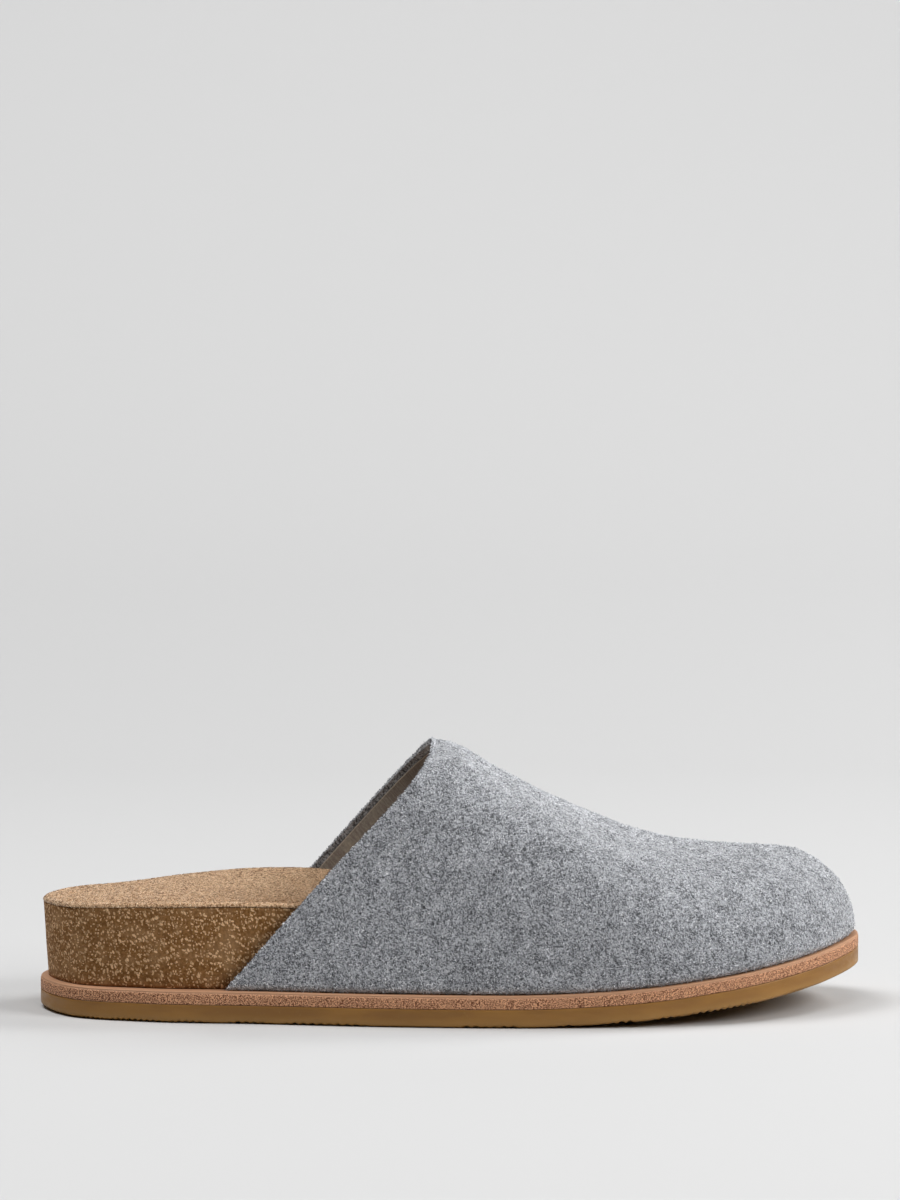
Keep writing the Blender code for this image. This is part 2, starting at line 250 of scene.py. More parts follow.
def faceNormals(face):
    # outward normals of a face of the felt, the two halves joined over the toe tip
    overTip = np.concatenate([face, face[-2:-1, ::-1]])
    normals = np.cross(np.gradient(overTip, axis=0)[:-1], np.gradient(face, axis=1))
    ridge = face.shape[1] // 2
    normals[-1, ridge] = normals[-2, ridge] + normals[-1, ridge - 1]
    return normals / np.linalg.norm(normals, axis=2)[..., None]


def moveIn(face, depth):
    # the face moved in by a depth, with its foot kept on the welt
    inner = face - faceNormals(face) * depth
    inner[:, [0, -1], 2] = face[:, [0, -1], 2]
    return inner


def addObject(name, data):
    made = bpy.data.objects.new(name, data)
    bpy.context.scene.collection.objects.link(made)
    return made


def triangleCount(data):
    return sum(len(face.vertices) - 2 for face in data.polygons)


def makePiece(name, points, faces, attributes=None):
    # closed mesh in metres from points in millimetres; attributes hold a number for each point
    data = bpy.data.meshes.new(name)
    data.from_pydata((np.asarray(points) * millimetre).tolist(), [], faces)
    for title, values in (attributes or {}).items():
        kept = data.attributes.new(title, "FLOAT", "POINT")
        kept.data.foreach_set("value", np.asarray(values, np.float32))
    mesh = bmesh.new()
    mesh.from_mesh(data)
    bmesh.ops.remove_doubles(mesh, verts=mesh.verts, dist=1e-7)
    bmesh.ops.recalc_face_normals(mesh, faces=mesh.faces)
    mesh.to_mesh(data)
    mesh.free()
    data.polygons.foreach_set("use_smooth", [True] * len(data.polygons))
    print("made", name, triangleCount(data), "triangles")
    return addObject(name, data)


def sheetFaces(count, columns):
    # four-cornered faces between rows of points
    corners = [i * columns + k for i in range(count - 1) for k in range(columns - 1)]
    return [(a, a + 1, a + columns + 1, a + columns) for a in corners]


def footFaces(count, columns, ribs):
    # faces along both feet of a wall, whose rows run back over its outer ribs, round the
    # topline and forward over its inner ribs
    faces = []
    for k in (0, columns - 1):
        ends = [i * columns + k for i in range(count)]
        faces += [(ends[i], ends[i + 1], ends[-2 - i], ends[-1 - i]) for i in range(ribs - 1)]
        if count > 2 * ribs:
            faces.append(ends[ribs - 1:count - ribs + 1])
    return faces


def ringShell(name, rings, caps, attributes=None):
    # closed solid between stacked rings; caps give for its foot and its top the number of
    # steps across, and the height between the rims where it isn't straight
    count = len(rings[0])
    half = count // 2
    points = [np.asarray(ring) for ring in rings]
    faces = []
    for row in range(len(rings) - 1):
        low = row * count
        for i in range(count):
            j = (i + 1) % count
            faces.append((low + i, low + j, low + count + j, low + count + i))
    filled = len(rings) * count
    rungValues = []
    for row, (across, height) in ((0, caps[0]), (len(rings) - 1, caps[1])):
        ring = points[row]
        share = np.arange(1, across)[None, :, None] / across
        rungs = lerp(ring[1:half, None], ring[:half:-1][:half - 1, None], share)
        if height is not None:
            rungs[..., 2] = height(rungs[..., 0], 2 * share[..., 0] - 1)
        points.append(rungs.reshape(-1, 3))

        def spot(i, k):
            if i in (0, half) or k == 0:
                return row * count + i
            if k == across:
                return row * count + count - i
            return filled + (i - 1) * (across - 1) + k - 1

        for i in range(half):
            for k in range(across):
                corners = (spot(i, k), spot(i + 1, k), spot(i + 1, k + 1), spot(i, k + 1))
                faces.append(tuple(dict.fromkeys(corners)))
        filled += (half - 1) * (across - 1)
        rungValues.append((row, (half - 1) * (across - 1)))
    full = {}
    for title, perRow in (attributes or {}).items():
        values = [np.full(count, value) for value in perRow]
        values += [np.full(size, perRow[row]) for row, size in rungValues]
        full[title] = np.concatenate(values)
    return makePiece(name, np.vstack(points), faces, full)


def soleRing(inset, stations, crowding=0.07):
    # ring round the welt or the rubber, with its points closer together at the heel and the toe
    even = np.linspace(0.0, 1.0, stations + 1)
    shares = even - crowding * np.sin(2 * math.pi * even)
    outer, _ = edgeAt(outerSide, shares, inset)
    inner, _ = edgeAt(innerSide, shares, inset)
    return np.vstack([outer, inner[-2:0:-1]])


def stacked(ring, heights):
    return np.column_stack([ring, heights])


# nodes for the finishes

def tone(*parts):
    # linear colour of an sRGB tone
    shares = [part / 255 for part in parts]
    linear = [c / 12.92 if c <= 0.04045 else ((c + 0.055) / 1.055) ** 2.4 for c in shares]
    return (*linear, 1.0)


def plug(tree, socket, value):
    if isinstance(value, bpy.types.NodeSocket):
        tree.links.new(value, socket)
    else:
        socket.default_value = value


def addNode(tree, kind, settings=None, **inputs):
    node = tree.nodes.new(kind)
    for title, value in (settings or {}).items():
        setattr(node, title, value)
    for title, value in inputs.items():
        plug(tree, node.inputs[title.replace("_", " ")], value)
    return node


def newFinish(name, **sockets):
    finish = bpy.data.materials.new(name)
    finish.use_nodes = True
    tree = finish.node_tree
    shader = tree.nodes["Principled BSDF"]
    for title, value in sockets.items():
        shader.inputs[title.replace("_", " ")].default_value = value
    return finish, tree, shader


def patternSpace(tree, size, turn=(0.0, 0.0, 0.0)):
    # object coordinates in units of a pattern's size in millimetres, turned first
    coords = tree.nodes.get("object place")
    if coords is None:
        coords = addNode(tree, "ShaderNodeTexCoord", {"name": "object place"})
    scale = tuple(millimetre * part for part in np.broadcast_to(size, 3).tolist())
    place = addNode(tree, "ShaderNodeMapping", {"vector_type": "TEXTURE"},
                    Vector=coords.outputs["Object"], Scale=scale, Rotation=turn)
    return place.outputs["Vector"]


def noise(tree, size, turn=(0.0, 0.0, 0.0), detail=1.0):
    place = patternSpace(tree, size, turn)
    return addNode(tree, "ShaderNodeTexNoise", Vector=place, Scale=1.0, Detail=detail).outputs["Fac"]


def pointValue(tree, title):
    return addNode(tree, "ShaderNodeAttribute", {"attribute_name": title}).outputs["Fac"]


def calc(tree, operation, first, second):
    made = addNode(tree, "ShaderNodeMath", {"operation": operation})
    plug(tree, made.inputs[0], first)
    plug(tree, made.inputs[1], second)
    return made.outputs[0]


def ranged(tree, value, low, high, toLow=0.0, toHigh=1.0):
    made = addNode(tree, "ShaderNodeMapRange", {"interpolation_type": "SMOOTHSTEP"}, Value=value,
                   From_Min=low, From_Max=high, To_Min=toLow, To_Max=toHigh)
    return made.outputs["Result"]


def ramp(tree, value, stops):
    made = addNode(tree, "ShaderNodeValToRGB", Fac=value)
    stripe = made.color_ramp.elements
    while len(stripe) < len(stops):
        stripe.new(0.5)
    for element, (place, colour) in zip(stripe, stops):
        element.position = place
        element.color = colour
    return made.outputs["Color"]


def blendTones(tree, share, first, second):
    made = addNode(tree, "ShaderNodeMix", {"data_type": "RGBA"})
    plug(tree, made.inputs[0], share)
    plug(tree, made.inputs[6], first)
    plug(tree, made.inputs[7], second)
    return made.outputs[2]


def relief(tree, shader, height, depth):
    # bump of a depth in millimetres
    made = addNode(tree, "ShaderNodeBump", Height=height, Distance=millimetre * depth, Strength=1.0)
    plug(tree, shader.inputs["Normal"], made.outputs["Normal"])


def streaks(tree, size, turns):
    # the highest of several stretched noises, one for each turn
    best = noise(tree, size, turns[0])
    for turn in turns[1:]:
        best = calc(tree, "MAXIMUM", best, noise(tree, size, turn))
    return best


# short fibres over a surface

fibre = {
    "inputs": {"NodeSocketFloat": ("Density", "Length", "Width", "Root", "Arch", "Tip", "Lift", "Tilt"),
               "NodeSocketInt": ("Bends", "Seed")},
    "curls": (-0.34, -0.15, 0.05, 0.2, 0.38),  # how far each kind of bent fibre curls sideways
    "scales": (0.55, 1.3),  # smallest and largest, as shares of the size given
    "salts": {"shade": 11, "turn": 23, "kind": 37, "scale": 41},  # added to the seed for each draw
}


def fibrePoint(tree, given, forward, sideways, up):
    # point of a fibre: shares of its length along and across it, and its height over the ground
    along = calc(tree, "MULTIPLY", given["Length"], forward)
    across = calc(tree, "MULTIPLY", given["Length"], sideways)
    return addNode(tree, "ShaderNodeCombineXYZ", X=along, Y=across, Z=up).outputs[0]


def turnedBy(tree, angles):
    made = addNode(tree, "FunctionNodeEulerToRotation")
    plug(tree, made.inputs[0], angles)
    return made.outputs[0]


def addSpike(tree, given, halfWidth, kinds):
    # straight fibre: a slim spike of four triangles that rises from the ground by its lift
    spike = addNode(tree, "GeometryNodeMeshCone", Vertices=3, Side_Segments=1, Fill_Segments=1,
                    Radius_Top=0.0, Radius_Bottom=halfWidth, Depth=given["Length"])
    pitch = calc(tree, "SUBTRACT", 0.5 * math.pi, given["Lift"])
    lying = addNode(tree, "ShaderNodeCombineXYZ", Y=pitch).outputs[0]
    laid = addNode(tree, "GeometryNodeTransform", Geometry=spike.outputs["Mesh"],
                   Translation=fibrePoint(tree, given, -0.5, 0.0, given["Root"]),
                   Rotation=turnedBy(tree, lying))
    tree.links.new(laid.outputs[0], kinds.inputs[0])


def addBentTubes(tree, given, halfWidth, kinds):
    # bent fibres: a three-sided tube for each curl
    section = addNode(tree, "GeometryNodeCurvePrimitiveCircle", Resolution=3)
    plug(tree, section.inputs["Radius"], halfWidth)
    for curl in fibre["curls"]:
        path = addNode(tree, "GeometryNodeCurveQuadraticBezier", Resolution=given["Bends"],
                       Start=fibrePoint(tree, given, -0.5, 0.0, given["Root"]),
                       Middle=fibrePoint(tree, given, 0.1, curl, given["Arch"]),
                       End=fibrePoint(tree, given, 0.5, -0.3 * curl, given["Tip"]))
        tube = addNode(tree, "GeometryNodeCurveToMesh", Curve=path.outputs[0],
                       Profile_Curve=section.outputs[0], Fill_Caps=True)
        tree.links.new(tube.outputs[0], kinds.inputs[0])


def fibreTree(name, finish, straight):
    tree = bpy.data.node_groups.new(name, "GeometryNodeTree")
    face = tree.interface
    face.new_socket("Geometry", in_out="OUTPUT", socket_type="NodeSocketGeometry")
    face.new_socket("Geometry", in_out="INPUT", socket_type="NodeSocketGeometry")
    for kind, titles in fibre["inputs"].items():
        for title in titles:
            face.new_socket(title, in_out="INPUT", socket_type=kind)
    given = tree.nodes.new("NodeGroupInput").outputs

    def draw(kind, low, high, salt):
        made = addNode(tree, "FunctionNodeRandomValue", {"data_type": kind})
        ends = [socket for socket in made.inputs if socket.enabled and socket.name in ("Min", "Max")]
        plug(tree, ends[0], low)
        plug(tree, ends[1], high)
        plug(tree, made.inputs["Seed"], calc(tree, "ADD", given["Seed"], fibre["salts"][salt]))
        return next(socket for socket in made.outputs if socket.enabled)

    kinds = addNode(tree, "GeometryNodeGeometryToInstance")
    halfWidth = calc(tree, "MULTIPLY", given["Width"], 0.5)
    if straight:
        addSpike(tree, given, halfWidth, kinds)
    else:
        addBentTubes(tree, given, halfWidth, kinds)
    spread = addNode(tree, "GeometryNodeDistributePointsOnFaces", Mesh=given["Geometry"],
                     Density=given["Density"], Seed=given["Seed"])
    shaded = addNode(tree, "GeometryNodeStoreNamedAttribute", {"data_type": "FLOAT", "domain": "POINT"},
                     Geometry=spread.outputs["Points"], Name="shade")
    value = next(socket for socket in shaded.inputs if socket.enabled and socket.name == "Value")
    plug(tree, value, draw("FLOAT", 0.0, 1.0, "shade"))
    tilt = given["Tilt"]
    back = calc(tree, "MULTIPLY", tilt, -1.0)
    lowTurn = addNode(tree, "ShaderNodeCombineXYZ", X=back, Y=back, Z=0.0).outputs[0]
    highTurn = addNode(tree, "ShaderNodeCombineXYZ", X=tilt, Y=tilt, Z=2 * math.pi).outputs[0]
    turned = addNode(tree, "FunctionNodeRotateRotation", {"rotation_space": "LOCAL"})
    plug(tree, turned.inputs[0], spread.outputs["Rotation"])
    plug(tree, turned.inputs[1], turnedBy(tree, draw("FLOAT_VECTOR", lowTurn, highTurn, "turn")))
    lastKind = len(fibre["curls"]) - 1
    grown = addNode(tree, "GeometryNodeInstanceOnPoints", Points=shaded.outputs[0],
                    Instance=kinds.outputs[0], Pick_Instance=True,
                    Instance_Index=draw("INT", 0, lastKind, "kind"), Rotation=turned.outputs[0],
                    Scale=draw("FLOAT", *fibre["scales"], "scale"))
    real = addNode(tree, "GeometryNodeRealizeInstances", Geometry=grown.outputs[0])
    dressed = addNode(tree, "GeometryNodeSetMaterial", Geometry=real.outputs[0], Material=finish)
    end = tree.nodes.new("NodeGroupOutput")
    tree.links.new(dressed.outputs[0], end.inputs[0])
    return tree


def growFibres(name, ground, finish, sizes):
    # plain mesh of fibres grown on a ground object; sizes with a lift give straight fibres
    tree = fibreTree(name, finish, "Lift" in sizes)
    grower = ground.modifiers.new("fibres", "NODES")
    grower.node_group = tree
    for item in tree.interface.items_tree:
        if item.in_out == "INPUT" and item.name in sizes:
            grower[item.identifier] = sizes[item.name]
    graph = bpy.context.evaluated_depsgraph_get()
    data = bpy.data.meshes.new_from_object(ground.evaluated_get(graph))
    data.name = name
    ground.modifiers.remove(grower)
    print("grew", name, triangleCount(data), "triangles")
    return addObject(name, data)


# rubber outsole

rubber = {
    "stations": 300,
    "ribDepth": 0.6,
    "ribPeriod": 2,  # stations from one groove of the tread to the next
    "ribFade": (0.6, 1.8),  # heights between which the grooves run out
    "ribPatch": 6.0,  # size of the stretches with deeper and shallower grooves
    "ribLevel": 0.4,  # middling depth in them, as a share
    "edge": [(2.4, 0.0), (1.3, 0.14), (0.7, 0.34), (0.28, 0.58), (0.06, 0.84), (0.0, 1.1), (0.0, 2.5),
             (0.0, 4.9), (0.0, 5.6), (0.05, 5.78), (0.4, 5.84)],  # inset and height, from the foot up
    "footSteps": 6,
    "tone": tone(152, 107, 46),
    "deepTone": tone(136, 94, 40),
    "dustTone": tone(168, 128, 74),
    # painted highlight: lighter tone along the bottom edge of the rubber
    "footHighlightTone": tone(170, 128, 66),
    "cloudSize": (22.0, 22.0, 6.0),
    "dustSize": 0.8,
    "wearSize": (3.0, 3.0, 1.2),
    "roughness": (0.36, 0.52),
    "grainSize": (0.9, 0.9, 0.35),
    "grainDepth": 0.03,
}


def rubberFinish():
    finish, tree, shader = newFinish("gum_rubber", Specular_IOR_Level=0.45)
    cloud = noise(tree, rubber["cloudSize"], detail=3.0)
    dust = noise(tree, rubber["dustSize"], detail=2.0)
    colour = blendTones(tree, ranged(tree, cloud, 0.35, 0.65), rubber["deepTone"], rubber["tone"])
    colour = blendTones(tree, ranged(tree, dust, 0.62, 0.8, 0.0, 0.25), colour, rubber["dustTone"])
    # painted highlight: the lowest rows of the rubber blend towards the lighter foot tone
    foot = ranged(tree, pointValue(tree, "rise"), 0.1, 0.7, 0.5, 0.0)
    colour = blendTones(tree, foot, colour, rubber["footHighlightTone"])
    plug(tree, shader.inputs["Base Color"], colour)
    wear = noise(tree, rubber["wearSize"], detail=3.0)
    plug(tree, shader.inputs["Roughness"], ranged(tree, wear, 0.3, 0.7, *rubber["roughness"]))
    relief(tree, shader, noise(tree, rubber["grainSize"], detail=2.0), rubber["grainDepth"])
    return finish


def makeRubber():
    rings = []
    for inset, height in rubber["edge"]:
        ring = soleRing(inset, rubber["stations"])
        low = 1 - smoothStep(0.0, 0.5 * last["outsoleHeight"], height)
        base = lerp(spring(ring[:, 0]), tread(ring[:, 0]), low)
        order = np.arange(len(ring))
        step = np.minimum(order, len(ring) - order)
        patch = softNoise(stacked(ring, np.zeros(len(ring))), rubber["ribPatch"], 5)
        uneven = np.clip(rubber["ribLevel"] + patch, 0.0, 1.0)
        groove = np.where(step % rubber["ribPeriod"] == 1, rubber["ribDepth"], 0.0) * uneven
        rings.append(stacked(ring, base + height + groove * (1 - smoothStep(*rubber["ribFade"], height))))
    rise = [height / last["outsoleHeight"] for _, height in rubber["edge"]]
    made = ringShell("rubber_outsole", rings, [(rubber["footSteps"], None), (1, None)], {"rise": rise})
    made.data.materials.append(rubberFinish())
    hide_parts("outsole")
    return made


# leather welt: a smooth rounded band above a fibrous cut edge

welt = {
    "stations": 240,
    "edge": [(0.4, 0.0), (0.12, 0.06), (0.03, 0.2), (0.0, 0.5), (0.0, 1.2), (0.0, 2.0), (0.0, 2.7),
             (0.02, 3.1), (0.08, 3.4), (0.2, 3.6), (0.24, 3.68), (0.2, 3.76), (0.2, 3.86), (0.27, 3.99),
             (0.42, 4.1), (0.75, 4.18), (1.2, 4.2), (1.6, 4.2)],  # inset and height, from the foot up
    "smoothFrom": (3.1, 3.7),  # heights between which the fibrous cut turns into the smooth band
    "bandTone": tone(188, 142, 109),
    "bandShade": tone(170, 128, 98),
    "cutTone": tone(232, 174, 132),
    "cutDark": tone(104, 56, 28),
    "fibreSize": (0.32, 0.32, 0.26),
    "fibreDepth": 0.35,
    "grainSize": (5.0, 5.0, 0.6),
}


def weltFinish():
    finish, tree, shader = newFinish("welt_leather", Roughness=0.62, Specular_IOR_Level=0.35)
    band = pointValue(tree, "band")
    fibres = noise(tree, welt["fibreSize"])
    grain = noise(tree, welt["grainSize"], detail=3.0)
    cut = blendTones(tree, ranged(tree, fibres, 0.42, 0.58), welt["cutDark"], welt["cutTone"])
    shade = ranged(tree, grain, 0.35, 0.65, 0.0, 0.35)
    smooth = blendTones(tree, shade, welt["bandTone"], welt["bandShade"])
    plug(tree, shader.inputs["Base Color"], blendTones(tree, band, cut, smooth))
    rough = calc(tree, "MULTIPLY", fibres, ranged(tree, band, 0.0, 1.0, 1.0, 0.12))
    relief(tree, shader, rough, welt["fibreDepth"])
    return finish


def makeWelt():
    rings = []
    for inset, height in welt["edge"]:
        ring = soleRing(inset, welt["stations"])
        rings.append(stacked(ring, spring(ring[:, 0]) + weltFoot + height))
    band = [float(smoothStep(*welt["smoothFrom"], height)) for _, height in welt["edge"]]
    made = ringShell("leather_welt", rings, [(1, None), (1, None)], {"band": band})
    made.data.materials.append(weltFinish())
    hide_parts("welt")
    return made


# rings round the cork and the insole: bare at the heel, inside the upper in front

wallStations = 64
wallLevels = 26
settleRounds = 4  # the height along the wall depends on the place there, so both are settled in turn
innerWall = moveIn(feltFace(np.linspace(0.0, 1.0, wallStations + 1), wallLevels), last["wall"])


def insideUpper(side, station, z):
    # where the wall's inner face passes a height on one rib, a gap further in
    column = innerWall[station] if side == outerSide else innerWall[station, ::-1]
    column = column[:wallLevels]
    place = np.array([np.interp(z, column[:, 2], column[:, axis]) for axis in range(2)])
    share = lerp(shareAt(side, last["toplineFoot"]), 1.0, station / wallStations)
    outward = edgeAt(side, [share], 0.0)[1][0]
    return place - outward * last["layerGap"]


def bedSide(side, height, heelInset, heelStations):
    covered = []
    for station in range(wallStations + 1):
        place = insideUpper(side, station, weltTop + last["layerGap"])
        for _ in range(settleRounds):
            place = insideUpper(side, station, float(height(place[0], side)))
        covered.append(place)
    corner = covered[0]
    cornerShare = shareAt(side, corner[0])
    cornerInset = abs(edgeAt(side, [cornerShare], 0.0)[0][0, 1] - corner[1])
    steps = np.arange(heelStations) / heelStations
    bare, _ = edgeAt(side, cornerShare * steps, lerp(heelInset, cornerInset, steps ** 2))
    return np.vstack([bare, covered])


def bedRing(height, heelInset, heelStations):
    # ring round the footbed at a height: heel back, outer side, toe tip, inner side
    sides = {side: bedSide(side, height, heelInset, heelStations) for side in (outerSide, innerSide)}
    ring = np.vstack([sides[outerSide], sides[innerSide][-2:0:-1]])
    half = len(ring) // 2
    rim = np.where(np.arange(len(ring)) <= half, outerSide, innerSide)
    return ring, height(ring[:, 0], rim)


# cork midsole

cork = {
    "heelStations": 150,
    "levels": 36,
    "capSteps": (4, 8),  # across the foot, across the top
    "bareFrom": (-30.0, -44.0),  # x between which the pits and swells of the bare heel start
    "pitSize": 1.7,
    "pitStart": 0.3,  # share of the noise that stays flat
    "pitDepth": 0.28,
    "swellSize": 5.0,
    "swellDepth": 0.12,
    "topGap": 0.16,  # to the insole
    "tone": tone(138, 97, 54),
    "darkTone": tone(112, 74, 34),
    "paleTone": tone(228, 188, 144),
    "cloudSize": 6.0,
    "speckSize": 0.8,
    "fleckTurns": 6,
    "fleckSize": (2.15, 1.15, 1.15),
    "fleckShare": 0.4,  # of the cells of each turn
    "reliefDepth": 0.22,
}


def corkFinish():
    finish, tree, shader = newFinish("cork", Roughness=0.85, Specular_IOR_Level=0.25)
    cloud = noise(tree, cork["cloudSize"], detail=3.0)
    speck = noise(tree, cork["speckSize"], detail=2.0)
    colour = blendTones(tree, ranged(tree, speck, 0.38, 0.62), cork["darkTone"], cork["tone"])
    colour = blendTones(tree, ranged(tree, cloud, 0.4, 0.7, 0.0, 0.15), colour, cork["paleTone"])
    height = calc(tree, "MULTIPLY", speck, 0.6)
    for i in range(cork["fleckTurns"]):
        turn = (0.7 * i, 0.45 + math.pi * i / cork["fleckTurns"], 1.1 * i)
        size = tuple(part * (1.0 - 0.35 * (i % 3) / 2) for part in cork["fleckSize"])
        cells = addNode(tree, "ShaderNodeTexVoronoi", Vector=patternSpace(tree, size, turn), Scale=1.0,
                        Randomness=0.85)
        pick = addNode(tree, "ShaderNodeSeparateColor", Color=cells.outputs["Color"])
        chosen = calc(tree, "LESS_THAN", pick.outputs[0], cork["fleckShare"])
        body = ranged(tree, cells.outputs["Distance"], 0.27, 0.32, 1.0, 0.0)
        mask = calc(tree, "MULTIPLY", chosen, body)
        mask = calc(tree, "MULTIPLY", mask, ranged(tree, pick.outputs[1], 0.0, 1.0, 0.35, 1.0))
        colour = blendTones(tree, mask, colour, cork["paleTone"])
        height = calc(tree, "ADD", height, calc(tree, "MULTIPLY", mask, 0.5))
    plug(tree, shader.inputs["Base Color"], colour)
    relief(tree, shader, height, cork["reliefDepth"])
    return finish


def makeCork():
    def foot(x, across):
        return spring(x) + weltTop + last["layerGap"]

    def top(x, across):
        return footbed(x, across) - last["insoleHeight"] - cork["topGap"]

    rings = []
    for share in np.linspace(0.0, 1.0, cork["levels"] + 1):
        def level(x, across):
            return lerp(foot(x, across), top(x, across), share)

        ring, heights = bedRing(level, lerp(*last["corkInset"], share), cork["heelStations"])
        place = stacked(ring, heights)
        bare = smoothStep(*cork["bareFrom"], ring[:, 0])
        pits = np.maximum(softNoise(place, cork["pitSize"], 3) - cork["pitStart"], 0.0)
        pits = pits * cork["pitDepth"] / (1 - cork["pitStart"])
        swell = softNoise(place, cork["swellSize"], 4) * cork["swellDepth"]
        place[:, :2] += outwardOf(ring) * (bare * (swell - pits - cork["swellDepth"]))[:, None]
        rings.append(place)
    made = ringShell("cork_block", rings, list(zip(cork["capSteps"], (foot, top))))
    made.data.materials.append(corkFinish())
    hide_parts("cork_midsole")
    return made


# suede insole with a rolled edge

suede = {
    "heelStations": 110,
    "capSteps": (4, 40),  # across the foot, across the face
    "edge": [(0.2, 0.0), (0.04, 0.08), (0.0, 0.22), (0.06, 0.5), (0.24, 0.85), (0.5, 1.14),
             (0.85, 1.32), (1.3, 1.4), (1.8, 1.4)],  # inset and height, from the foot up
    "tone": tone(220, 184, 147),
    "darkTone": tone(116, 78, 40),
    "brushTone": tone(200, 162, 128),
    "napSize": 0.5,
    "napDepth": 0.18,
    "brushSize": (7.0, 12.0, 9.0),
    "hairs": {"Density": 3.6e6, "Length": 0.0009, "Width": 0.00024, "Root": -0.0001, "Lift": 0.3,
              "Tilt": 0.25, "Seed": 5},  # in metres
    "hairsEnd": 0.0,  # x in metres, out of sight under the upper
    "hairsSteepest": -0.2,  # lowest rise of a face's normal with hairs on it
    "hairTones": [(0.0, tone(66, 40, 14)), (0.24, tone(124, 88, 54)), (0.45, tone(213, 179, 141)),
                  (1.0, tone(254, 231, 198))],
}


def suedeFinish():
    finish, tree, shader = newFinish("suede", Roughness=0.95, Specular_IOR_Level=0.15, Sheen_Weight=0.25,
                                     Sheen_Roughness=0.5)
    nap = noise(tree, suede["napSize"], detail=3.0)
    brushed = noise(tree, suede["brushSize"], detail=3.0)
    colour = blendTones(tree, ranged(tree, nap, 0.36, 0.62), suede["darkTone"], suede["tone"])
    colour = blendTones(tree, ranged(tree, brushed, 0.45, 0.7, 0.0, 0.35), colour, suede["brushTone"])
    plug(tree, shader.inputs["Base Color"], colour)
    relief(tree, shader, nap, suede["napDepth"])
    return finish


def hairFinish():
    finish, tree, shader = newFinish("suede_nap", Roughness=0.95, Specular_IOR_Level=0.1, Sheen_Weight=0.2)
    plug(tree, shader.inputs["Base Color"], ramp(tree, pointValue(tree, "shade"), suede["hairTones"]))
    return finish


def makeInsole():
    def foot(x, across):
        return footbed(x, across) - last["insoleHeight"]

    rings = []
    for inset, height in suede["edge"]:
        def level(x, across):
            return foot(x, across) + height

        ring, heights = bedRing(level, last["corkInset"][1], suede["heelStations"])
        rings.append(stacked(ring - inset * outwardOf(ring), heights))
    made = ringShell("suede_insole", rings, list(zip(suede["capSteps"], (foot, footbed))))
    made.data.materials.append(suedeFinish())
    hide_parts("insole")
    return made


def makeNap(insole):
    # short hairs on the part of the insole that shows
    mesh = bmesh.new()
    mesh.from_mesh(insole.data)
    bare = [face for face in mesh.faces if face.calc_center_median().x >= suede["hairsEnd"]
            or face.normal.z <= suede["hairsSteepest"]]
    bmesh.ops.delete(mesh, geom=bare, context="FACES")
    data = bpy.data.meshes.new("nap_ground")
    mesh.to_mesh(data)
    mesh.free()
    ground = addObject("nap_ground", data)
    made = growFibres("suede_hairs", ground, hairFinish(), suede["hairs"])
    bpy.data.objects.remove(ground)
    return made


# felt upper; the sizes of its fibres are in metres

